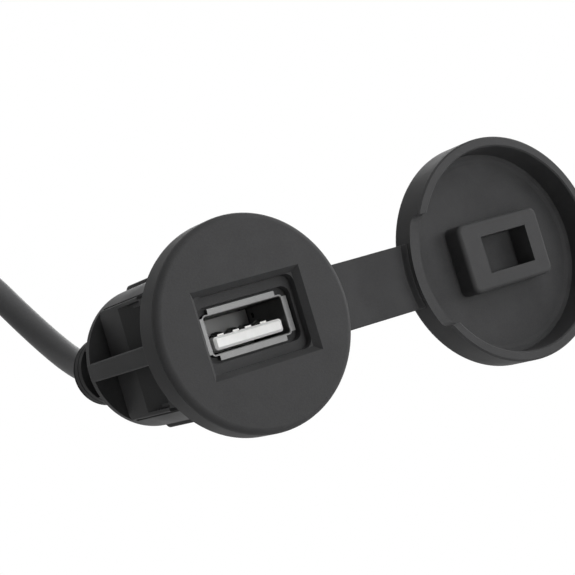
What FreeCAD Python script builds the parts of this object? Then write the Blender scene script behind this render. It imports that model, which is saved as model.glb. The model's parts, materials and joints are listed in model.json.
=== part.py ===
"""Flush-mount car USB socket with a tethered dust cap and a lead, in millimetres.

Frame: X runs along the tether towards the open cap, Y points back through the panel, Z is up.
The origin is on the socket's axis, in the plane where the flange seats on the panel.
"""
import FreeCAD, Part
import math
import os

from FreeCAD import Vector as V

# socket flange
flange_r = 15.2
flange_thick = 4.9
edge_round = 0.9
seam_gap = 0.1
hub_r = 12.6
fit_gap = 0.05

# panel spigot
spigot_r = 11.25
spigot_len = 6.0
spigot_bore_r = 9.0
spigot_web = 1.0

# port recess in the flange's face
recess_mouth_w = 17.5
recess_mouth_h = 12.2
recess_w = 15.9
recess_h = 10.7
recess_chamfer = 0.96
recess_depth = 2.25
recess_corner_r = 1.3
port_step_w = 15.04
port_step_h = 7.8
port_step_corner_r = 1.3
port_step_deep = 1.3
shell_gap = 0.1

# metal shell of the port
port_w = 12.5
port_h = 5.12
sheet = 0.3
shell_corner_r = 0.6
port_length = 14.0
lip_set_back = 0.6
lip_level_w = 10.9
lip_level_reach = 1.0
lip_side_h = 5.0
lip_side_reach = 0.9
lip_bend_r = 0.2
spring_w = 1.6
spring_len = 4.5
spring_from = 4.7
spring_slot = 0.3
side_hole_r = 0.4
side_hole_back = 8.65
side_hole_up = 1.25

# tongue, carrier block and contacts
tongue_w = 11.1
tongue_thick = 1.84
tongue_top_z = -0.31
tongue_set_back = 0.15
tongue_corner_r = 0.45
tongue_nose = 0.34
carrier_len = 4.0
carrier_gap = 0.12
contact_w = 1.0
contact_thick = 0.25
contact_set_back = 1.6
contact_rise = 0.4
contact_bump = 2.6
contact_tail = 2.5
contact_xs = {"vbus": -3.5, "data_minus": -1.0, "data_plus": 1.0, "ground": 3.5}
slot_gap = 0.02

# rear housing
body_r = 10.75
rim_round = 0.2
core_w = 14.8
core_h = 17.0
core_round = 1.3
core_edge_round = 0.25
housing_back = 29.0
end_disc_thick = 1.3
neck_groove = 0.8
neck_inset = 1.4
crease_w = 0.3
crease_deep = 0.5
crease_notch_h = 0.45
crease_notch_back = 13.2
fin_thick = 2.8
fin_round = 0.3
rib_w = 2.2
rib_back_round = 1.6
rib_edge_round = 0.2
rib_set_back = 1.0
side_pocket_deep = 1.75
side_pocket_top = 7.9
side_pocket_slope = 1.7
side_pocket_back = 20.1
side_pocket_wall = 0.8
cavity_gap = 0.1
rear_room_w = 9.0
rear_room_h = 8.0
back_wall = 3.4
housing_lap = 3.4

# strain relief
relief_r = 5.65
relief_len = 17.6
relief_edge = 0.2
relief_groove_from = 0.4
relief_groove_pitch = 1.5
relief_groove_w = 0.3
relief_groove_deep = 0.2
relief_window_from = 3.4
relief_window_len = 3.2
relief_window_h = 7.6
relief_window_web = 1.0
relief_window_wall = 0.8
relief_neck_r = 3.6
relief_head_r = 3.9
relief_head_len = 1.2

# lead
lead_r = 2.4
jacket_inner_len = 4.0
wire_r = 0.5
wire_spread = 0.75
wire_run = 1.3
ferrule_wall = 0.4
ferrule_len = 1.8

# rubber tether
ring_edge_round = 0.25
strap_w = 9.7
strap_thick = 1.4
strap_sink = 1.0
strap_root_back = -1.2
strap_cap_back = -1.8
strap_bend_from = 18.5
strap_bend_to = 25.0
strap_lip_w = 0.8
strap_lip_rise = 0.7

# dust cap, standing open beside the flange
hinge_x = 22.3
hinge_y = -4.15
cap_x = 2 * hinge_x
cap_seat_gap = 0.15
cap_mouth_gap = 0.4
cap_rim_wall = 1.5
cap_rim_y = -6.87
cap_floor_y = -2.3
cap_floor_thick = 1.35
cap_back_round = 0.6
cap_rim_round = 0.25
cap_mouth_chamfer = 0.2
cap_step_rise = 0.3
cap_step_slope = 0.6
cap_step_w = 0.75
cap_plug_gap = 0.1
cap_plug_floor_gap = 0.05
cap_plug_corner_r = 1.2
cap_plug_edge = 0.6
cap_hole_w = 8.87
cap_hole_h = 5.61
cap_hole_deep = 3.9
cap_hole_shift = 0.4
notch_half_h = 8.3
notch_depth = 1.85
notch_round = 0.8

# lead's route, chosen by eye: from the strain relief up, over and down to the coil's top
relief_back = housing_back + relief_len
coil_x, coil_y, coil_z = -58.0, 62.0, -18.5
coil_c = V(coil_x, coil_y, coil_z)
outer_turn_r = 28.3
inner_turn_r = 24.1
coil_half_y = 7.2
tail_angle = 150.0
tail_y = -7.5
tail_lead_in = 14.0
tail_lift = 1.5
tail_bend_up = 17.0
tail_bend_out = 1.5
tail_end_up = 6.0
tie_angle = 35.0
tie_gap = 0.1
tie_thick = 1.0
tie_w = 3.0

lead_route = [
    V(0, relief_back, 0),
    V(0, 53.8, 0),
    V(-0.3, 62.0, 3.8),
    V(-1.0, 69.2, 10.6),
    V(-4.0, 74.6, 20.4),
    V(-10.5, 77.0, 30.2),
    V(-21.0, 76.0, 36.5),
    V(-32.5, 71.8, 36.0),
    V(-41.0, 66.6, 29.4),
    V(-46.0, 62.8, 20.6),
    V(-52.2, 60.6, 12.9),
    V(-61.5, 59.6, 9.8),
    V(-69.0, 59.6, 7.2),
]

# plug on the far end
grip_w = 8.0
grip_d = 15.6
grip_len = 24.0
grip_corner_r = 2.2
plug_w = 12.0
plug_h = 4.5
plug_len = 12.0
plug_sheet = 0.3
plug_corner_r = 0.3
plug_tongue = 2.0
plug_nose_gap = 0.5
plug_root = 3.0
plug_contact_len = 8.0
plug_contact_thick = 0.2
grip_end_round = 1.5
plug_contact_ys = {"vbus": -3.5, "data_minus": -1.0, "data_plus": 1.0, "ground": 3.5}
plug_c = V(-91.0, coil_c.y + tail_y, -36.0)

face_y = -flange_thick
recess_floor_y = face_y + recess_depth
lip_y = recess_floor_y + lip_set_back
port_back_y = lip_y + port_length
tongue_y = lip_y + tongue_set_back
ring_front_y = face_y + edge_round + seam_gap
cap_base_r = flange_r + cap_seat_gap
cap_mouth_r = flange_r + cap_mouth_gap
cap_r = cap_mouth_r + cap_rim_wall
cap_plug_front_y = 2 * hinge_y - recess_floor_y + cap_plug_floor_gap
AXIS = V(0, 1, 0)


def cyl(r, y0, y1, x=0.0, z=0.0):
    """A cylinder along Y."""
    return Part.makeCylinder(r, y1 - y0, V(x, y0, z), AXIS)


def box(x0, x1, y0, y1, z0, z1):
    """A box between two limits along each axis."""
    return Part.makeBox(x1 - x0, y1 - y0, z1 - z0, V(x0, y0, z0))


def bar(w, h, y0, y1, r=0.0, x=0.0, z=0.0):
    """A bar along Y with its long corners rounded."""
    body = box(x - w / 2, x + w / 2, y0, y1, z - h / 2, z + h / 2)
    if r > 0:
        body = body.makeFillet(r, [e for e in body.Edges if along(e, "y")])
    return body


def along(edge, axis):
    """Whether a straight edge runs along the named axis."""
    return abs(abs(getattr(edge.tangentAt(edge.FirstParameter), axis)) - 1) < 1e-6


def at_y(edge, y):
    """Whether the whole edge lies in the plane at y."""
    return all(abs(edge.valueAt(p).y - y) < 1e-6 for p in (edge.FirstParameter, edge.LastParameter)) and (
        abs(edge.CenterOfMass.y - y) < 1e-6)


def rectangle(w, h, y, x=0.0, z=0.0):
    points = [V(x + i * w / 2, y, z + j * h / 2) for i, j in ((-1, -1), (1, -1), (1, 1), (-1, 1), (-1, -1))]
    return Part.makePolygon(points)


def taper(w0, h0, y0, w1, h1, y1, x=0.0, z=0.0):
    """A four-sided block along Y whose ends are two rectangles."""
    return Part.makeLoft([rectangle(w0, h0, y0, x, z), rectangle(w1, h1, y1, x, z)], True, True)


def turned(points, x=0.0):
    """A solid turned about a line along Y. A point is (radius, y), or an arc's end and then its middle."""
    edges = []
    last = V(points[0][0], points[0][1], 0)
    for p in points[1:] + points[:1]:
        here = V(p[0], p[1], 0)
        if len(p) == 4:
            edges.append(Part.Arc(last, V(p[2], p[3], 0), here).toShape())
        elif (here - last).Length > 1e-9:
            edges.append(Part.LineSegment(last, here).toShape())
        last = here
    face = Part.Face(Part.Wire(edges))
    body = face.revolve(V(0, 0, 0), AXIS, 360)
    body.translate(V(x, 0, 0))
    return body


def quarter(r0, y0, r1, y1, cr, cy):
    """The end of an arc about (cr, cy), with the point half way along it."""
    mr, my = (r0 + r1) / 2 - cr, (y0 + y1) / 2 - cy
    radius = math.hypot(r0 - cr, y0 - cy)
    length = math.hypot(mr, my)
    return (r1, y1, cr + mr * radius / length, cy + my * radius / length)


def tube(points, r, name=None):
    """A round tube of straight runs joined by tangent arcs, each as large as its two runs allow."""
    edges = []
    start = points[0]
    radii = []
    for a, b, c in zip(points, points[1:], points[2:]):
        into = (b - a).normalize()
        away = (c - b).normalize()
        turn = into.getAngle(away)
        reach = 0.45 * min((b - a).Length, (c - b).Length)
        radii.append(reach / math.tan(turn / 2))
        p = b - into * reach
        q = b + away * reach
        inward = (away - into).normalize()
        middle = b + inward * (radii[-1] / math.cos(turn / 2) - radii[-1])
        edges.append(Part.LineSegment(start, p).toShape())
        edges.append(Part.Arc(p, middle, q).toShape())
        start = q
    edges.append(Part.LineSegment(start, points[-1]).toShape())
    path = Part.Wire(edges)
    ring = Part.Wire([Part.Circle(points[0], (points[1] - points[0]).normalize(), r).toShape()])
    body = path.makePipeShell([ring], True, False)
    if name:
        expected = math.pi * r * r * path.Length
        print(name, "length", round(path.Length, 1), "radii", [round(x, 1) for x in radii],
              "volume ratio", round(body.Volume / expected, 4))
    return body


def bezel():
    """The front moulding: flange face with the port's recess, hub under the ring, and panel spigot."""
    body = turned([
        (0, face_y),
        (flange_r - edge_round, face_y),
        quarter(flange_r - edge_round, face_y, flange_r, face_y + edge_round, flange_r - edge_round,
                face_y + edge_round),
        (hub_r, face_y + edge_round),
        (hub_r, 0),
        (spigot_r, 0),
        (spigot_r, spigot_len),
        (spigot_bore_r, spigot_len),
        (spigot_bore_r, spigot_web),
        (0, spigot_web),
    ])
    mouth = taper(recess_mouth_w, recess_mouth_h, face_y, recess_w, recess_h, face_y + recess_chamfer)
    body = body.cut(mouth)
    body = body.cut(bar(recess_w, recess_h, face_y + recess_chamfer / 2, recess_floor_y, recess_corner_r))
    step_floor_y = recess_floor_y + port_step_deep
    body = body.cut(bar(port_step_w, port_step_h, recess_floor_y - port_step_deep, step_floor_y,
                        port_step_corner_r))
    around_shell = sheet + shell_gap
    return body.cut(bar(port_w + 2 * around_shell, port_h + 2 * around_shell, recess_floor_y, spigot_len,
                        shell_corner_r + shell_gap))


def tether_ring():
    """The rubber ring behind the flange's lip, which seals on the panel and carries the strap."""
    bore = hub_r + fit_gap
    return turned([
        (bore, ring_front_y),
        (flange_r, ring_front_y),
        (flange_r, -ring_edge_round),
        quarter(flange_r, -ring_edge_round, flange_r - ring_edge_round, 0, flange_r - ring_edge_round,
                -ring_edge_round),
        (bore, 0),
    ])


def tether_strap():
    """The flat rubber strap from the ring to the cap's side, stepping forward half way."""
    half = strap_w / 2
    root_x = math.sqrt(flange_r ** 2 - half ** 2) - strap_sink
    tip_x = cap_x - math.sqrt(cap_r ** 2 - half ** 2) + strap_sink
    line = [(root_x, strap_root_back), (strap_bend_from, strap_root_back), (strap_bend_to, strap_cap_back),
            (tip_x, strap_cap_back)]
    front = [(x, y - strap_thick) for x, y in reversed(line)]
    outline = Part.makePolygon([V(x, y, -half) for x, y in line + front + line[:1]])
    body = Part.Face(outline).extrude(V(0, 0, strap_w))
    lip_front = strap_cap_back - strap_thick - strap_lip_rise
    lip = cyl(cap_r + fit_gap + strap_lip_w, lip_front, strap_cap_back, cap_x)
    lip_from = cap_x - cap_r - 2 * strap_lip_w
    body = body.fuse(lip.common(box(lip_from, tip_x, lip_front, strap_cap_back, -half, half)))
    body = body.cut(cyl(flange_r + fit_gap, face_y - 1, 1))
    return body.cut(cyl(cap_r + fit_gap, cap_rim_y - 1, 1, cap_x)).removeSplitter()


def dust_cap():
    """The cup-shaped rubber cap with its rim notch and the hollow plug that fills the recess."""
    back_y = cap_floor_y + cap_floor_thick
    step_y = cap_floor_y - cap_step_rise
    step_r = cap_base_r - cap_step_w
    body = turned([
        (0, cap_floor_y),
        (step_r - cap_step_slope, cap_floor_y),
        (step_r, step_y),
        (cap_base_r, step_y),
        (cap_mouth_r, cap_rim_y + cap_mouth_chamfer),
        (cap_mouth_r + cap_mouth_chamfer, cap_rim_y),
        (cap_r - cap_rim_round, cap_rim_y),
        (cap_r, cap_rim_y + cap_rim_round),
        (cap_r, back_y - cap_back_round),
        quarter(cap_r, back_y - cap_back_round, cap_r - cap_back_round, back_y, cap_r - cap_back_round,
                back_y - cap_back_round),
        (0, back_y),
    ], cap_x)
    notch_floor_y = cap_rim_y + notch_depth
    notch = box(cap_x - cap_r - 1, cap_x, cap_rim_y - 1, notch_floor_y, -notch_half_h, notch_half_h)
    floor_edges = [e for e in notch.Edges if along(e, "x") and at_y(e, notch_floor_y)]
    notch = notch.makeFillet(notch_round, floor_edges)
    body = body.cut(notch)
    plug = bar(recess_w - 2 * cap_plug_gap, recess_h - 2 * cap_plug_gap, cap_plug_front_y,
               cap_floor_y + cap_floor_thick / 2, cap_plug_corner_r, cap_x)
    plug = plug.makeFillet(cap_plug_edge, [e for e in plug.Edges if at_y(e, cap_plug_front_y)])
    body = body.fuse(plug)
    hole_floor_y = cap_plug_front_y + cap_hole_deep
    hole = bar(cap_hole_w, cap_hole_h, cap_plug_front_y - 1, hole_floor_y, 0, cap_x + cap_hole_shift)
    return body.cut(hole).removeSplitter()


def housing_block():
    """The flat-sided block in the middle of the housing, round the port and the wires."""
    back_y = housing_back - end_disc_thick - neck_groove
    block = box(-core_w / 2, core_w / 2, spigot_len, back_y, -core_h / 2, core_h / 2)
    block = block.makeFillet(core_round, [e for e in block.Edges if along(e, "x") and at_y(e, back_y)])
    sides = [e for e in block.Edges if abs(abs(e.CenterOfMass.x) - core_w / 2) < 1e-6]
    return block.makeFillet(core_edge_round, [e for e in sides if not at_y(e, spigot_len)])


def side_pocket(side, level):
    """The hollow beside a fin: it deepens towards the flange, and its outer end rises in an arc."""
    outer = side * core_w / 2
    floor_x = outer - side * side_pocket_deep
    arc_r = (side_pocket_slope ** 2 + side_pocket_deep ** 2) / (2 * side_pocket_deep)
    half_angle = math.asin(side_pocket_slope / arc_r) / 2
    top_z = level * side_pocket_top
    bend_z = top_z - level * side_pocket_slope
    middle = V(floor_x + side * arc_r * (1 - math.cos(half_angle)), 0,
               bend_z + level * arc_r * math.sin(half_angle))
    corners = [V(outer, 0, top_z), V(floor_x, 0, bend_z), V(floor_x, 0, 0), V(outer, 0, 0)]
    edges = [Part.Arc(corners[0], middle, corners[1]).toShape()]
    edges += [Part.LineSegment(a, b).toShape() for a, b in zip(corners[1:], corners[2:] + corners[:1])]
    front_y = port_back_y + cavity_gap + side_pocket_wall
    pocket = Part.Face(Part.Wire(edges)).extrude(V(0, side_pocket_back - front_y, 0))
    pocket.translate(V(0, front_y, 0))
    wedge = Part.makePolygon([V(outer, side_pocket_back, 0), V(floor_x, front_y, 0), V(outer, front_y, 0),
                              V(outer, side_pocket_back, 0)])
    slope = Part.Face(wedge).extrude(V(0, 0, top_z))
    return pocket.common(slope)


def crease(side, level):
    """The groove between the block and a crown, which opens out towards the flange."""
    crown_x = math.sqrt(body_r ** 2 - (core_h / 2) ** 2)
    inner, outer = side * (crown_x - crease_deep), side * (core_w / 2 + 1)
    low, high = level * core_h / 2, level * (core_h / 2 + crease_w)
    x0, x1 = sorted((inner, outer))
    z0, z1 = sorted((low, high))
    groove = box(x0, x1, spigot_len, housing_back - end_disc_thick - neck_groove, z0, z1)
    z0, z1 = sorted((low - level * crease_notch_h, high))
    return groove.fuse(box(x0, x1, spigot_len, crease_notch_back, z0, z1))


def rear_housing():
    """The rear moulding: block, crowns, side fins, ribs and end disc round the port and the wires."""
    front = spigot_len
    disc_front = housing_back - end_disc_thick
    envelope = cyl(body_r, front, housing_back)
    envelope = envelope.makeFillet(rim_round, [e for e in envelope.Edges if at_y(e, housing_back)])
    crown_half = math.sqrt(body_r ** 2 - (core_h / 2) ** 2)
    crowns = envelope.common(box(-crown_half, crown_half, front, housing_back, -body_r, body_r))
    hidden_h = core_h / 2 - core_round
    crowns = crowns.cut(box(-crown_half, crown_half, front, housing_back, -hidden_h, hidden_h))
    disc = envelope.common(cyl(body_r + 1, disc_front, housing_back))
    neck = box(-core_w / 2 + neck_inset, core_w / 2 - neck_inset, disc_front - neck_groove, disc_front,
               -core_h / 2, core_h / 2)
    fins = box(-body_r, body_r, front, housing_back, -fin_thick / 2, fin_thick / 2)
    fin_ends = [e for e in fins.Edges if abs(abs(e.CenterOfMass.x) - body_r) < 1e-6]
    fins = fins.makeFillet(fin_round, [e for e in fin_ends if not at_y(e, front)])
    spine = box(-rib_w / 2, rib_w / 2, front + rib_set_back, housing_back, -spigot_r, spigot_r)
    ends = [e for e in spine.Edges if along(e, "x") and at_y(e, housing_back)]
    spine = spine.makeFillet(rib_back_round, ends)
    crests = [e for e in spine.Edges if along(e, "y") and abs(abs(e.CenterOfMass.z) - spigot_r) < 1e-6]
    spine = spine.makeFillet(rib_edge_round, crests)
    block = housing_block()
    sides = [(side, level) for side in (-1, 1) for level in (-1, 1)]
    block = block.cut([side_pocket(side, level) for side, level in sides])
    body = block.fuse([neck, crowns, disc]).cut([crease(side, level) for side, level in sides])
    collar = cyl(spigot_bore_r - fit_gap, front - housing_lap, front)
    body = body.fuse([fins, spine, collar])
    room_w = port_w + 2 * sheet + 2 * cavity_gap
    room_h = port_h + 2 * sheet + 2 * cavity_gap
    body = body.cut(bar(room_w, room_h, front - housing_lap, port_back_y + cavity_gap))
    body = body.cut(bar(rear_room_w, rear_room_h, port_back_y + cavity_gap, housing_back - back_wall))
    neck_hole = cyl(relief_neck_r + fit_gap, housing_back - back_wall - 1, housing_back)
    return body.cut(neck_hole).removeSplitter()


def usb_shell():
    """The port's sheet-metal shell: lips turned out at the mouth and spring tongues cut in its walls."""
    body = bar(port_w + 2 * sheet, port_h + 2 * sheet, lip_y, port_back_y, shell_corner_r)
    tall, wide = port_h / 2 + lip_level_reach, port_w / 2 + lip_side_reach
    body = body.fuse([
        box(-lip_level_w / 2, lip_level_w / 2, lip_y, lip_y + sheet, -tall, tall),
        box(-wide, wide, lip_y, lip_y + sheet, -lip_side_h / 2, lip_side_h / 2),
    ])
    body = body.cut(bar(port_w, port_h, lip_y, port_back_y, shell_corner_r - sheet)).removeSplitter()
    inner = [e for e in body.Edges if at_y(e, lip_y) and abs(e.CenterOfMass.x) <= port_w / 2 + 1e-6
             and abs(e.CenterOfMass.z) <= port_h / 2 + 1e-6]
    body = body.makeFillet(lip_bend_r, inner)
    slot_from = lip_y + spring_from
    for level in (-1, 1):
        for side in (-1, 1):
            x = side * port_w / 4
            z0, z1 = sorted((level * port_h / 2, level * (port_h / 2 + sheet)))
            half_slot = spring_w / 2 + spring_slot
            around = box(x - half_slot, x + half_slot, slot_from,
                         slot_from + spring_len, z0 - fit_gap, z1 + fit_gap)
            leaf = box(x - spring_w / 2, x + spring_w / 2, slot_from + spring_slot, slot_from + spring_len,
                       z0, z1)
            body = body.cut(around.cut(leaf))
    hole = Part.makeCylinder(side_hole_r, port_w + 4 * sheet,
                             V(-port_w / 2 - 2 * sheet, lip_y + side_hole_back, side_hole_up), V(1, 0, 0))
    return body.cut(hole).removeSplitter()


def contact_carrier():
    """The white moulding inside the shell: a block across its back end with the tongue in front."""
    block_y = port_back_y - carrier_len
    block = bar(port_w - 2 * carrier_gap, port_h - 2 * carrier_gap, block_y, port_back_y)
    tongue = bar(tongue_w, tongue_thick, tongue_y, block_y + carrier_len / 2, tongue_corner_r, 0,
                 tongue_top_z - tongue_thick / 2)
    tongue = tongue.makeChamfer(tongue_nose, [e for e in tongue.Edges if at_y(e, tongue_y)])
    body = block.fuse(tongue)
    for x in contact_xs.values():
        slot = box(x - contact_w / 2 - slot_gap, x + contact_w / 2 + slot_gap, block_y - 0.01, port_back_y,
                   tongue_top_z, tongue_top_z + contact_thick + slot_gap)
        body = body.cut(slot)
    return body.removeSplitter()


def contact(x):
    """One flat contact on the tongue, with its nose bowed up and its tail behind the block."""
    start = tongue_y + contact_set_back
    end = port_back_y + contact_tail
    crest = start + contact_bump / 2
    z0 = tongue_top_z
    lower = [(start, z0), (start + 0.3 * contact_bump, z0 + 0.8 * contact_rise), (crest, z0 + contact_rise),
             (start + contact_bump, z0), (end, z0)]
    upper = [(y, z + contact_thick) for y, z in reversed(lower)]
    outline = Part.makePolygon([V(x - contact_w / 2, y, z) for y, z in lower + upper + lower[:1]])
    return Part.Face(outline).extrude(V(contact_w, 0, 0))


def wire(x, corner):
    """One insulated wire from a contact's tail to its corner of the bundle in the jacket."""
    y0 = port_back_y + contact_tail
    y1 = jacket_front_y
    z0 = tongue_top_z + contact_thick / 2
    cx, cz = corner
    return tube([V(x, y0, z0), V(x, y0 + wire_run, z0), V(cx, y1 - wire_run, cz), V(cx, y1, cz)], wire_r)


def strain_relief():
    """The rubber sleeve round the lead: fine grooves round it, and windows that let it bend."""
    wall_front = housing_back - back_wall
    head_front = wall_front - relief_head_len
    bore = lead_r + fit_gap
    points = [
        (bore, head_front),
        (relief_head_r, head_front),
        (relief_head_r, wall_front),
        (relief_neck_r, wall_front),
        (relief_neck_r, housing_back),
        (relief_r, housing_back),
    ]
    grooves = []
    y = relief_back - relief_groove_from
    while y - relief_groove_w > housing_back:
        grooves.append(y)
        y -= relief_groove_pitch
    for y in reversed(grooves):
        points += [
            (relief_r, y - relief_groove_w),
            (relief_r - relief_groove_deep, y - relief_groove_w / 2),
            (relief_r, y),
        ]
    points += [
        (relief_r, relief_back - relief_edge),
        (relief_r - relief_edge, relief_back),
        (bore, relief_back),
    ]
    body = turned(points)
    y1 = relief_back - relief_window_from
    turn = 0
    while y1 - relief_window_len > housing_back + relief_window_web:
        for side in (-1, 1):
            x0, x1 = sorted((side * (bore + relief_window_wall), side * (relief_r + 1)))
            window = box(x0, x1, y1 - relief_window_len, y1, -relief_window_h / 2, relief_window_h / 2)
            window.rotate(V(0, 0, 0), AXIS, turn)
            body = body.cut(window)
        y1 -= relief_window_len + relief_window_web
        turn = 90 - turn
    return body.removeSplitter()


jacket_front_y = housing_back - back_wall - relief_head_len - jacket_inner_len


def lead_inner_end():
    """The lead's jacket from inside the housing to the strain relief's back face."""
    return cyl(lead_r, jacket_front_y, relief_back)


def crimp_ferrule():
    """The metal band crimped on the jacket, which keeps the lead from being pulled out."""
    y1 = housing_back - back_wall - relief_head_len
    bore = lead_r + fit_gap
    return cyl(bore + ferrule_wall, y1 - ferrule_len, y1).cut(cyl(bore, y1 - ferrule_len, y1))


def coil_point(angle, radius, dy=0.0):
    a = math.radians(angle)
    return V(coil_c.x + radius * math.cos(a), coil_c.y + dy, coil_c.z + radius * math.sin(a))


def lead_coil():
    """The outer shape of the wound part of the lead."""
    y0, y1 = coil_c.y - coil_half_y, coil_c.y + coil_half_y
    outside = cyl(outer_turn_r + lead_r, y0, y1, coil_c.x, coil_c.z)
    return outside.cut(cyl(inner_turn_r - lead_r, y0, y1, coil_c.x, coil_c.z))


def lead_tail():
    """The short end of the lead from the coil to the plug."""
    start = coil_point(tail_angle - tail_lead_in, inner_turn_r, tail_y)
    leave = coil_point(tail_angle, inner_turn_r + tail_lift, tail_y)
    return tube([
        start,
        leave,
        V(plug_c.x + tail_bend_out, plug_c.y, plug_c.z + tail_bend_up),
        V(plug_c.x, plug_c.y, plug_c.z + tail_end_up),
        plug_c,
    ], lead_r, "lead_tail")


def coil_tie():
    """The strap that holds the turns together."""
    mid = (outer_turn_r + inner_turn_r) / 2
    half_r = (outer_turn_r - inner_turn_r) / 2 + lead_r + tie_gap
    half_y = coil_half_y + tie_gap
    band_r, band_y = half_r + tie_thick, half_y + tie_thick
    outer = box(mid - band_r, mid + band_r, -band_y, band_y, -tie_w / 2, tie_w / 2)
    body = outer.cut(box(mid - half_r, mid + half_r, -half_y, half_y, -tie_w / 2, tie_w / 2))
    body.rotate(V(0, 0, 0), V(0, 1, 0), -tie_angle)
    body.translate(coil_c)
    return body


def upright(w, d, z0, z1, r):
    """A bar along Z at the plug's place, with its long corners rounded."""
    body = Part.makeBox(w, d, z1 - z0, V(plug_c.x - w / 2, plug_c.y - d / 2, z0))
    if r > 0:
        body = body.makeFillet(r, [e for e in body.Edges if along(e, "z")])
    return body


plug_top_z = plug_c.z
plug_face_z = plug_top_z - grip_len


def plug_grip():
    """The moulded grip of the far end's plug."""
    body = upright(grip_w, grip_d, plug_face_z, plug_top_z, grip_corner_r)
    ends = [e for e in body.Edges if all(abs(v.Z - plug_top_z) < 1e-6 for v in e.Vertexes)]
    return body.makeFillet(grip_end_round, ends)


def plug_shell():
    """The far plug's metal nose, a folded sheet."""
    outer = upright(plug_h, plug_w, plug_face_z - plug_len, plug_face_z, plug_corner_r)
    w, d = plug_h - 2 * plug_sheet, plug_w - 2 * plug_sheet
    return outer.cut(upright(w, d, plug_face_z - plug_len, plug_face_z, 0))


def plug_insulator():
    """The far plug's insulator, which leaves the nose's mouth half open."""
    w, d = plug_h - 2 * plug_sheet, plug_w - 2 * plug_sheet
    body = upright(w, d, plug_face_z - plug_len + plug_nose_gap, plug_face_z, 0)
    hollow = Part.makeBox(w - plug_tongue + 1, d + 2, plug_len - plug_root,
                          V(plug_c.x - w / 2 + plug_tongue, plug_c.y - d / 2 - 1, plug_face_z - plug_len))
    return body.cut(hollow)


def plug_contact(dy):
    """One contact in the far plug, on the insulator's open side."""
    x = plug_c.x - plug_h / 2 + plug_sheet + plug_tongue
    z0 = plug_face_z - plug_root - plug_contact_len
    corner = V(x, plug_c.y + dy - contact_w / 2, z0)
    return Part.makeBox(plug_contact_thick, contact_w, plug_contact_len, corner)


def write(name, shape):
    solids = shape.Solids
    if len(solids) != 1 or not shape.isValid():
        print("CHECK", name, "solids", len(solids), "valid", shape.isValid())
    (solids[0] if len(solids) == 1 else shape).exportStep(os.path.join("parts", name + ".step"))


os.makedirs("parts", exist_ok=True)
write("bezel", bezel())
write("tether_ring", tether_ring())
write("tether_strap", tether_strap())
write("dust_cap", dust_cap())
write("rear_housing", rear_housing())
write("usb_shell", usb_shell())
write("contact_carrier", contact_carrier())
corners = [(i * wire_spread, j * wire_spread) for i, j in ((-1, -1), (-1, 1), (1, 1), (1, -1))]
for (name, x), corner in zip(contact_xs.items(), corners):
    write("contact_" + name, contact(x))
    write("wire_" + name, wire(x, corner))
write("strain_relief", strain_relief())
write("lead_inner_end", lead_inner_end())
write("crimp_ferrule", crimp_ferrule())
write("lead_tube", tube(lead_route, lead_r, "lead_tube"))
write("lead_coil", lead_coil())
write("lead_tail", lead_tail())
write("coil_tie", coil_tie())
write("plug_grip", plug_grip())
write("plug_shell", plug_shell())
write("plug_insulator", plug_insulator())
for name, dy in plug_contact_ys.items():
    write("plug_contact_" + name, plug_contact(dy))
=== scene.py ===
# %% [markdown]
# # A flush-mount USB socket with a tethered dust cap
# This lesson dresses a small car part in Blender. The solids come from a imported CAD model, which is
# loaded as a fixed frame: it holds every size, and nothing here moves or resizes it. What Blender adds
# is the look: a rubber strap that bends, a lead that hangs in one smooth line, moulded plastic, rubber,
# plated sheet metal, and a studio's light.

# %% Load the frame
import json
import math
import bmesh
import bpy
from mathutils import Matrix, Vector


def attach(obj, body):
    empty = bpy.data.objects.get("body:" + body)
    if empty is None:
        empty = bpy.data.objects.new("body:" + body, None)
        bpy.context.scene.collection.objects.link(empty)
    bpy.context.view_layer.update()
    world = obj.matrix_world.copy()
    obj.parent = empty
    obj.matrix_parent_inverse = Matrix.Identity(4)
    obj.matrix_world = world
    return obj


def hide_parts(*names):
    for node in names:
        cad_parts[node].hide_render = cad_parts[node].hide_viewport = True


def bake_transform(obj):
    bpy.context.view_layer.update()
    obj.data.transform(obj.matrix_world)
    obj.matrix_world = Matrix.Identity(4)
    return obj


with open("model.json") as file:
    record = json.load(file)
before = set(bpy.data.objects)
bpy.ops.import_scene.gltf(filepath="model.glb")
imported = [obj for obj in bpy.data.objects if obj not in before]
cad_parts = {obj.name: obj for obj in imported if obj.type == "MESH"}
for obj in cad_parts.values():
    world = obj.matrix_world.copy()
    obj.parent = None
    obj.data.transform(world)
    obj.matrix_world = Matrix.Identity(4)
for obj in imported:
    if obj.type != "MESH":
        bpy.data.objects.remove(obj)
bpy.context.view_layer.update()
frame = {"nodes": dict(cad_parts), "record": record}
nodes = frame["nodes"]
MM = 0.001
print("solids in the frame:", len(nodes))

# %% [markdown]
# ## The camera
# The photograph is square and was matched by its round flange, its round cap and the port, whose size
# is a standard. That gives the camera's place, its three axes and its focal length in pixels. The
# picture's content is turned, so the camera is rolled rather than the object.

# %% Camera
PHOTO_PX = 575
FOCAL_PX = 1487.4
SENSOR_MM = 36.0
AZIMUTH, ELEVATION, ROLL = (math.radians(a) for a in (-32.071, -1.627, 16.711))
DISTANCE = 203.885 * MM
AIM_RIGHT, AIM_UP = 7.732 * MM, 3.383 * MM


def camera_matrix():
    back = Vector((math.sin(AZIMUTH) * math.cos(ELEVATION), -math.cos(AZIMUTH) * math.cos(ELEVATION),
                   math.sin(ELEVATION)))
    right = (-back).cross(Vector((0, 0, 1))).normalized()
    up = right.cross(-back)
    place = right * AIM_RIGHT + up * AIM_UP + back * DISTANCE
    rolled_right = right * math.cos(ROLL) - up * math.sin(ROLL)
    rolled_up = right * math.sin(ROLL) + up * math.cos(ROLL)
    turn = Matrix((rolled_right, rolled_up, back)).transposed().to_4x4()
    return Matrix.Translation(place) @ turn


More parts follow.
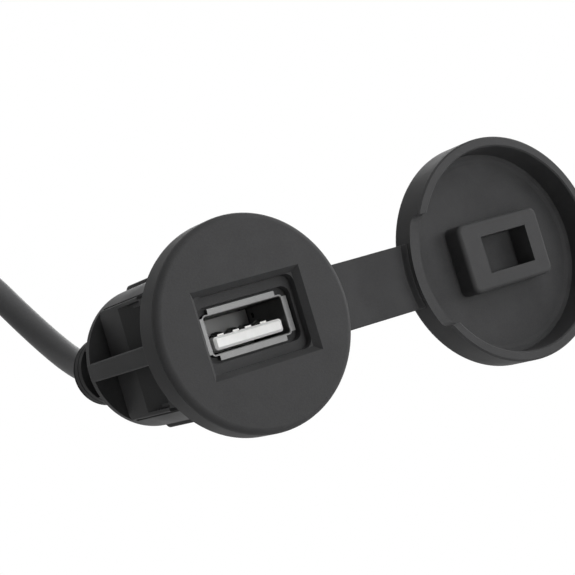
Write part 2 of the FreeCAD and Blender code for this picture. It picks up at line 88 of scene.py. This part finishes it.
camera_data = bpy.data.cameras.new("camera")
camera_data.sensor_width = SENSOR_MM
camera_data.lens = FOCAL_PX / PHOTO_PX * SENSOR_MM
camera_data.clip_start = 0.01
camera_data.clip_end = 10
camera = bpy.data.objects.new("camera", camera_data)
bpy.context.scene.collection.objects.link(camera)
camera.matrix_world = camera_matrix()
bpy.context.scene.camera = camera
print("camera at", [round(v, 4) for v in camera.matrix_world.translation])

# %% [markdown]
# ## The lead
# The real lead leaves the rubber sleeve, lifts a little and sweeps to the left and out of view. The rest of
# it is put away in a round coil with a tie, and ends in a plug. A curve with a round bevel is the way to
# make it, because a lead is a fixed length of something with one thickness. The points of the free
# stretch are listed, and a loop works out the turns of the coil. A spline runs a little inside
# the points that steer it, so the coil's points are set slightly further out than the turns.

# %% Lead route
LEAD_D = 4.8 * MM
COIL_CENTRE = Vector((-58.0, 62.0, -18.5)) * MM
OUTER_TURN, INNER_TURN = 28.3 * MM, 24.1 * MM
PLUG_TOP = Vector((-91.0, 54.5, -36.0)) * MM
COIL_START_DEG, POINTS_PER_TURN, POINTS_TO_SHIFT = 96, 14, 4
SPLINE_OUTSET = 1.004

free_route = [
    (0, 46.6, 0),
    (-0.3, 50.2, 0.5),
    (-0.3, 56.4, 2.6),
    (-0.5, 63.4, 6.9),
    (-1.8, 69.8, 13.2),
    (-4.8, 74.4, 21.6),
    (-10.5, 77.0, 30.2),
    (-21.0, 76.0, 36.5),
    (-32.5, 71.8, 36.0),
    (-41.0, 66.6, 29.4),
    (-46.0, 62.8, 20.6),
    (-52.2, 60.6, 12.9),
]


def coil_point(angle_deg, radius, depth):
    a = math.radians(angle_deg)
    return COIL_CENTRE + Vector((radius * math.cos(a), depth, radius * math.sin(a)))


def coil_turns():
    """Points of five turns: the outer row's two first, then the inner row's three, back to front."""
    turns = [(OUTER_TURN, -2.4), (OUTER_TURN, 2.4), (INNER_TURN, 4.8), (INNER_TURN, 0.0), (INNER_TURN, -4.8)]
    leaving = (INNER_TURN, -6.0)
    points = []
    for i, ((radius, depth), (next_radius, next_depth)) in enumerate(zip(turns, turns[1:] + [leaving])):
        for k in range(POINTS_PER_TURN):
            angle = COIL_START_DEG + 360 * (i + k / POINTS_PER_TURN)
            shift = max(0.0, (k - POINTS_PER_TURN + POINTS_TO_SHIFT) / POINTS_TO_SHIFT)
            r = radius + (next_radius - radius) * shift
            d = depth + (next_depth - depth) * shift
            points.append(coil_point(angle, r * SPLINE_OUTSET, d * MM))
    return points


tail_route = [
    coil_point(104, INNER_TURN + 0.2 * MM, -7.4 * MM),
    coil_point(128, INNER_TURN + 0.8 * MM, -7.5 * MM),
    coil_point(150, INNER_TURN + 2.0 * MM, -7.5 * MM),
    PLUG_TOP + Vector((1.5, 0, 17.0)) * MM,
    PLUG_TOP + Vector((0, 0, 6.0)) * MM,
    PLUG_TOP,
]
lead_points = [Vector(p) * MM for p in free_route] + coil_turns() + tail_route
print("points along the lead:", len(lead_points))

# %% [markdown]
# The tube's thickness is the bevel's depth times each point's radius. The radius holds the real half
# thickness here and the depth is 1, because a curve's bounding box counts the radius alone.

# %% Lead curve
lead_curve = bpy.data.curves.new("lead", "CURVE")
lead_curve.dimensions = "3D"
lead_curve.bevel_depth = 1.0
lead_curve.bevel_resolution = 8
lead_curve.resolution_u = 8
spline = lead_curve.splines.new("NURBS")
spline.points.add(len(lead_points) - 1)
for point, place in zip(spline.points, lead_points):
    point.co = (*place, 1)
    point.radius = LEAD_D / 2
spline.order_u = 3
spline.use_endpoint_u = True
lead = bpy.data.objects.new("lead", lead_curve)
bpy.context.scene.collection.objects.link(lead)
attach(lead, "socket")
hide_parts("lead_tube", "lead_coil", "lead_tail")

# %% [markdown]
# ## The rubber strap
# On the real part the ring, the strap and the cap are one rubber moulding, and the strap bends when the cap
# closes. A solid from CAD can't bend, so the strap is made again as a fine grid: its two ends are
# pulled to the round sides of ring and cap, it steps forward half way, and its last stretch turns up
# into a lip, where the rows lie closest. An extrusion gives it its thickness, and a bevel rounds its
# long edges. The blend turns each point about the hinge's line and doesn't keep the strap's length, so
# with the cap closed the strap pinches at that line, where real rubber would fold in a loop.

# %% Strap sizes
RING_R, CAP_R, CAP_X = 15.2 * MM, 17.1 * MM, 44.6 * MM
STRAP_W, STRAP_THICK = 9.7 * MM, 1.4 * MM
ROOT_BACK, CAP_BACK = -1.2 * MM, -1.8 * MM
STEP_FROM, STEP_TO = 18.5 * MM, 25.0 * MM
LIP_RISE, LIP_RUN, LIP_TOP = 1.1 * MM, 0.4 * MM, 0.05 * MM
STRAP_EDGE = 0.22 * MM
TUCK, CAP_GAP = 0.15 * MM, 0.05 * MM
ROW_CROWDING = 1.6
SAME_PLACE = 0.001 * MM


def ease(value, start, end):
    """0 before start, 1 after end, and a smooth rise between them."""
    t = min(1.0, max(0.0, (value - start) / (end - start)))
    return t * t * (3 - 2 * t)


# %% Strap
bm = bmesh.new()
bmesh.ops.create_grid(bm, x_segments=110, y_segments=14, size=0.5)
for v in bm.verts:
    across = v.co.y * STRAP_W
    root = math.sqrt(RING_R ** 2 - across ** 2) - TUCK
    tip = CAP_X - math.sqrt((CAP_R + CAP_GAP) ** 2 - across ** 2)
    x = tip - (tip - root) * (0.5 - v.co.x) ** ROW_CROWDING
    back = ROOT_BACK + (CAP_BACK - ROOT_BACK) * ease(x, STEP_FROM, STEP_TO)
    back -= LIP_RISE * ease(x, tip - LIP_RUN, tip - LIP_TOP)
    v.co = Vector((x, back, across))
copied = bmesh.ops.extrude_face_region(bm, geom=bm.faces[:], use_keep_orig=True)["geom"]
front_verts = [g for g in copied if isinstance(g, bmesh.types.BMVert)]
bmesh.ops.translate(bm, verts=front_verts, vec=(0, -STRAP_THICK, 0))
bmesh.ops.recalc_face_normals(bm, faces=bm.faces)


def on_long_side(v):
    return abs(abs(v.co.z) - STRAP_W / 2) < SAME_PLACE


def runs_along(e):
    return abs(e.verts[0].co.x - e.verts[1].co.x) > SAME_PLACE


long_edges = [e for e in bm.edges if all(map(on_long_side, e.verts)) and runs_along(e)]
bmesh.ops.bevel(bm, geom=long_edges, offset=STRAP_EDGE, offset_type="OFFSET", segments=3, profile=0.5,
                affect="EDGES", clamp_overlap=True, material=-1)
mesh = bpy.data.meshes.new("strap")
bm.to_mesh(mesh)
bm.free()
mesh.shade_smooth()
mesh.set_sharp_from_angle(angle=math.radians(40))
strap = bpy.data.objects.new("strap", mesh)
bpy.context.scene.collection.objects.link(strap)
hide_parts("tether_strap")
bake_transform(strap)
print("strap", len(mesh.polygons), "faces")
for axis in range(3):
    along = [v.co[axis] / MM for v in mesh.vertices]
    print("  from", round(min(along), 2), "to", round(max(along), 2), "mm along", "XYZ"[axis])

# %% [markdown]
# ## Finishes
# Every finish is a small node tree on Object coordinates, so its grain keeps its real size on every piece
# and stays put when the cap swings. Each one has three things: a colour that varies a little, a
# roughness that varies with it, and a fine bump. Grain sizes are given in millimetres.

# %% Helpers for finishes
finishes = {}


def new_finish(name, metallic=0.0, specular=0.5):
    """Makes a material and gives its tree, its shader and its Object coordinates.

    The constants are set on the shader's own sockets.
    """
    material = finishes[name] = bpy.data.materials.new(name)
    material.use_nodes = True
    tree = material.node_tree
    shader = tree.nodes["Principled BSDF"]
    shader.inputs["Metallic"].default_value = metallic
    shader.inputs["Specular IOR Level"].default_value = specular
    coords = tree.nodes.new("ShaderNodeTexCoord")
    return tree, shader, coords.outputs["Object"]


def grain(tree, place, size_mm, detail=3.0, stretch=(1, 1, 1)):
    """Noise whose blobs are about size_mm across, drawn out along an axis with a small stretch."""
    mapping = tree.nodes.new("ShaderNodeMapping")
    mapping.inputs["Scale"].default_value = stretch
    noise = tree.nodes.new("ShaderNodeTexNoise")
    noise.inputs["Scale"].default_value = 1.0 / (size_mm * MM)
    noise.inputs["Detail"].default_value = detail
    tree.links.new(place, mapping.inputs["Vector"])
    tree.links.new(mapping.outputs["Vector"], noise.inputs["Vector"])
    return noise.outputs["Fac"]


def spread(tree, factor, low, high, from_low=0.3, from_high=0.7):
    """Turns a noise value into a number between low and high."""
    ranger = tree.nodes.new("ShaderNodeMapRange")
    ranger.inputs["From Min"].default_value = from_low
    ranger.inputs["From Max"].default_value = from_high
    ranger.inputs["To Min"].default_value = low
    ranger.inputs["To Max"].default_value = high
    tree.links.new(factor, ranger.inputs["Value"])
    return ranger.outputs["Result"]


def combine(tree, kind, a, b):
    """One Math node of the given kind; a and b are sockets or numbers."""
    math_node = tree.nodes.new("ShaderNodeMath")
    math_node.operation = kind
    for socket, value in zip(math_node.inputs, (a, b)):
        if isinstance(value, (int, float)):
            socket.default_value = value
        else:
            tree.links.new(value, socket)
    return math_node.outputs[0]


def blended(tree, first, first_share, second, second_share):
    """The sum of two values, each times its share."""
    parts = (combine(tree, "MULTIPLY", first, first_share), combine(tree, "MULTIPLY", second, second_share))
    return combine(tree, "ADD", *parts)


def tones(tree, factor, stops):
    """Colour from a factor: stops are (position, (r, g, b))."""
    ramp = tree.nodes.new("ShaderNodeValToRGB")
    elements = ramp.color_ramp.elements
    while len(elements) < len(stops):
        elements.new(0.5)
    for element, (position, colour) in zip(elements, stops):
        element.position = position
        element.color = (*colour, 1)
    tree.links.new(factor, ramp.inputs["Fac"])
    return ramp.outputs["Color"]


def relief(tree, shader, layers):
    """Chains bump layers, given as (height, strength, distance in mm), into the shader's normal."""
    last = None
    for height, strength, distance in layers:
        bump = tree.nodes.new("ShaderNodeBump")
        bump.inputs["Strength"].default_value = strength
        bump.inputs["Distance"].default_value = distance * MM
        tree.links.new(height, bump.inputs["Height"])
        if last is not None:
            tree.links.new(last, bump.inputs["Normal"])
        last = bump.outputs["Normal"]
    tree.links.new(last, shader.inputs["Normal"])


def grey(level):
    """A very slightly cool grey."""
    return (level, level, level * 1.02)


# %% [markdown]
# ### Black plastic and rubber
# The flange and the housing come from a spark-eroded mould, which leaves an even grain of a fifth of a
# millimetre, with slow, faint changes of tone where the plastic cooled. The rubber of the cap, ring and
# strap is a little softer and duller, and carries a fine bloom. The lead's jacket is drawn, so it's the
# smoothest. One function makes them all, with a row of numbers for each.

# %% Black finishes
def black_finish(name, tone, contrast, rough, grain_mm, bump, specular, bloom_mm=5.0):
    tree, shader, place = new_finish(name, specular=specular)
    fine = grain(tree, place, grain_mm, detail=2.0)
    bloom = grain(tree, place, bloom_mm, detail=5.0)
    both = blended(tree, fine, 0.35, bloom, 0.65)
    colour = tones(tree, both, [(0.3, grey(tone * (1 - contrast))), (0.5, grey(tone)),
                                (0.7, grey(tone * (1 + contrast)))])
    tree.links.new(colour, shader.inputs["Base Color"])
    tree.links.new(spread(tree, bloom, rough - 0.06, rough + 0.06), shader.inputs["Roughness"])
    scuffs = grain(tree, place, 1.1)
    relief(tree, shader, [(scuffs, bump / 2, 0.02), (fine, bump, 0.03)])


black_finish("socket_plastic", 0.044, 0.16, 0.55, 0.2, 0.4, 0.1)
black_finish("cap_rubber", 0.05, 0.18, 0.6, 0.16, 0.35, 0.1, bloom_mm=4.0)
black_finish("relief_rubber", 0.024, 0.2, 0.55, 0.18, 0.35, 0.05, bloom_mm=2.5)
black_finish("lead_jacket", 0.085, 0.14, 0.5, 0.3, 0.1, 0.12, bloom_mm=7.0)
black_finish("tie_plastic", 0.035, 0.15, 0.5, 0.4, 0.2, 0.15)
print("black finishes made")

# %% [markdown]
# ### Plated sheet metal
# The port's shell is stamped from plated sheet. The rolling of the sheet shows as faint streaks along the
# port, and the plating is satin, not mirror-like. The contacts and the ferrule are brighter. The shell
# and the contacts are darker here than real plating is, because that matches the photograph's greys.

# %% Metal finishes
def metal_finish(name, colour, rough, streak_mm, stretch, depth=0.02):
    tree, shader, place = new_finish(name, metallic=1.0)
    streaks = grain(tree, place, streak_mm, detail=4.0, stretch=stretch)
    clouds = grain(tree, place, 1.6, detail=3.0)
    both = blended(tree, streaks, 0.5, clouds, 0.5)
    shades = [(0.35, tuple(c * 0.75 for c in colour)), (0.65, colour)]
    tree.links.new(tones(tree, both, shades), shader.inputs["Base Color"])
    tree.links.new(spread(tree, both, rough - 0.07, rough + 0.09), shader.inputs["Roughness"])
    relief(tree, shader, [(streaks, 0.3, depth)])


metal_finish("port_steel", (0.14, 0.14, 0.14), 0.42, 0.12, (1, 0.12, 1))
metal_finish("band_metal", (0.5, 0.5, 0.51), 0.3, 0.15, (1, 0.2, 1))
metal_finish("contact_plating", (0.3, 0.3, 0.29), 0.3, 0.2, (1, 0.3, 1), depth=0.008)
print("metal finishes made")

# %% [markdown]
# ### White and coloured plastic
# The tongue of the port is a glossy white plastic with glass fibre, which clouds it a little. At the back
# of the port its colour is lowered, in place of the deep shade that the photograph has there. The four
# wires inside are the same smooth plastic in their usual colours.

# %% White and coloured finishes
def painted_deep_shade(tree, place, shades, middle_mm, inner_mm, outer_mm, left):
    """Painted shade: the colour times left near a point, and untouched further from it."""
    distance = tree.nodes.new("ShaderNodeVectorMath")
    distance.operation = "DISTANCE"
    distance.inputs[1].default_value = Vector(middle_mm) * MM
    tree.links.new(place, distance.inputs[0])
    amount = spread(tree, distance.outputs["Value"], left, 1.0, inner_mm * MM, outer_mm * MM)
    scale = tree.nodes.new("ShaderNodeVectorMath")
    scale.operation = "SCALE"
    tree.links.new(shades, scale.inputs[0])
    tree.links.new(amount, scale.inputs["Scale"])
    return scale.outputs["Vector"]


def smooth_finish(name, colour, rough, cloud=0.06, painted_shade_within=None):
    tree, shader, place = new_finish(name, specular=0.45)
    clouds = grain(tree, place, 1.4, detail=4.0)
    fibres = grain(tree, place, 0.15, detail=2.0, stretch=(1, 0.3, 1))
    dark = tuple(c * (1 - cloud) for c in colour)
    shades = tones(tree, clouds, [(0.35, dark), (0.65, colour)])
    # Painted shade near the back of the port, where it is given.
    if painted_shade_within is not None:
        shades = painted_deep_shade(tree, place, shades, *painted_shade_within)
    tree.links.new(shades, shader.inputs["Base Color"])
    tree.links.new(spread(tree, fibres, rough - 0.05, rough + 0.05), shader.inputs["Roughness"])
    relief(tree, shader, [(fibres, 0.2, 0.008)])


# The white is darkened near the back of the port as painted shade.
smooth_finish("port_white", (0.84, 0.84, 0.83), 0.34, painted_shade_within=((0, 11, 1), 6.0, 10.5, 0.3))
smooth_finish("wire_red", (0.62, 0.05, 0.04), 0.4)
smooth_finish("wire_white", (0.85, 0.85, 0.84), 0.4)
smooth_finish("wire_green", (0.05, 0.35, 0.1), 0.4)
smooth_finish("wire_black", (0.03, 0.03, 0.03), 0.4)
print("smooth finishes made")

# %% Put the finishes on
slots = {row["node"]: row["material_slot"] for row in frame["record"]["subparts"]}
for name, node in nodes.items():
    node.data.materials.clear()
    node.data.materials.append(finishes[slots[name]])
lead.data.materials.append(finishes["lead_jacket"])
strap.data.materials.append(finishes["cap_rubber"])
print("finishes:", len(finishes))

# %% [markdown]
# ## The studio
# The photograph was taken against pure white, with the light mostly from the front and the right. The
# floor and the world are white for the camera and for reflections, but the world gives little light of
# its own, so the walls that face away from the lamps stay dark. The powers of the lamps were fitted to
# the photograph's greys, and then changed one by one.

# %% White floor
WORLD_LIGHT = 0.03


def white_for_camera(tree):
    """1 for camera, glossy and transmission rays, otherwise 0."""
    path = tree.nodes.new("ShaderNodeLightPath")
    seen = combine(tree, "MAXIMUM", path.outputs["Is Camera Ray"], path.outputs["Is Glossy Ray"])
    return combine(tree, "MAXIMUM", seen, path.outputs["Is Transmission Ray"])


def floor_finish():
    material = bpy.data.materials.new("studio_white")
    material.use_nodes = True
    tree = material.node_tree
    tree.nodes.clear()
    white = tree.nodes.new("ShaderNodeEmission")
    diffuse = tree.nodes.new("ShaderNodeBsdfDiffuse")
    diffuse.inputs["Color"].default_value = (0.8, 0.8, 0.8, 1)
    mix = tree.nodes.new("ShaderNodeMixShader")
    out = tree.nodes.new("ShaderNodeOutputMaterial")
    tree.links.new(white_for_camera(tree), mix.inputs["Fac"])
    tree.links.new(diffuse.outputs[0], mix.inputs[1])
    tree.links.new(white.outputs[0], mix.inputs[2])
    tree.links.new(mix.outputs[0], out.inputs["Surface"])
    return material


FLOOR_Z, FLOOR_HALF = -0.0725, 3.0
bm = bmesh.new()
bmesh.ops.create_grid(bm, x_segments=1, y_segments=1, size=FLOOR_HALF)
bmesh.ops.translate(bm, verts=bm.verts, vec=(0, 0, FLOOR_Z))
mesh = bpy.data.meshes.new("floor")
bm.to_mesh(mesh)
bm.free()
floor = bpy.data.objects.new("floor", mesh)
bpy.context.scene.collection.objects.link(floor)
mesh.materials.append(floor_finish())

# %% World
world = bpy.data.worlds.new("studio")
bpy.context.scene.world = world
world.use_nodes = True
background = world.node_tree.nodes["Background"]
background.inputs["Color"].default_value = (1, 1, 1, 1)
strength = spread(world.node_tree, white_for_camera(world.node_tree), WORLD_LIGHT, 1.0, 0.0, 1.0)
world.node_tree.links.new(strength, background.inputs["Strength"])

# %% Lamps
# name: place in metres, side of the square in metres, power in watts
LAMPS = {
    "front": ((0.1, -0.6, 0.0), 0.12, 0.9),
    "front_right": ((0.5, -0.65, 0.1), 0.4, 1.6),
    "right": ((0.8, -0.1, 0.1), 0.4, 6.0),
    "front_top": ((0.1, -0.5, 0.6), 0.4, 1.5),
    "top": ((0.0, 0.1, 0.8), 0.5, 0.7),
    "front_left": ((-0.45, -0.65, 0.1), 0.4, 0.3),
    "back_left": ((-0.5, 0.6, 0.2), 0.5, 0.35),
    "back_right": ((0.5, 0.6, 0.3), 0.5, 1.9),
}
AIM = Vector((0.012, 0.0, 0.0))


def softbox(name, place, size, power):
    data = bpy.data.lights.new(name, "AREA")
    data.energy = power
    data.size = size
    lamp = bpy.data.objects.new(name, data)
    bpy.context.scene.collection.objects.link(lamp)
    lamp.location = place
    lamp.rotation_euler = (AIM - Vector(place)).to_track_quat("-Z", "Y").to_euler()


for name, (place, size, power) in LAMPS.items():
    softbox(name, place, size, power)
bpy.context.scene.view_settings.view_transform = "Standard"
print("lamps:", len(LAMPS))

# %% Bring the scene up to date
bpy.context.view_layer.update()
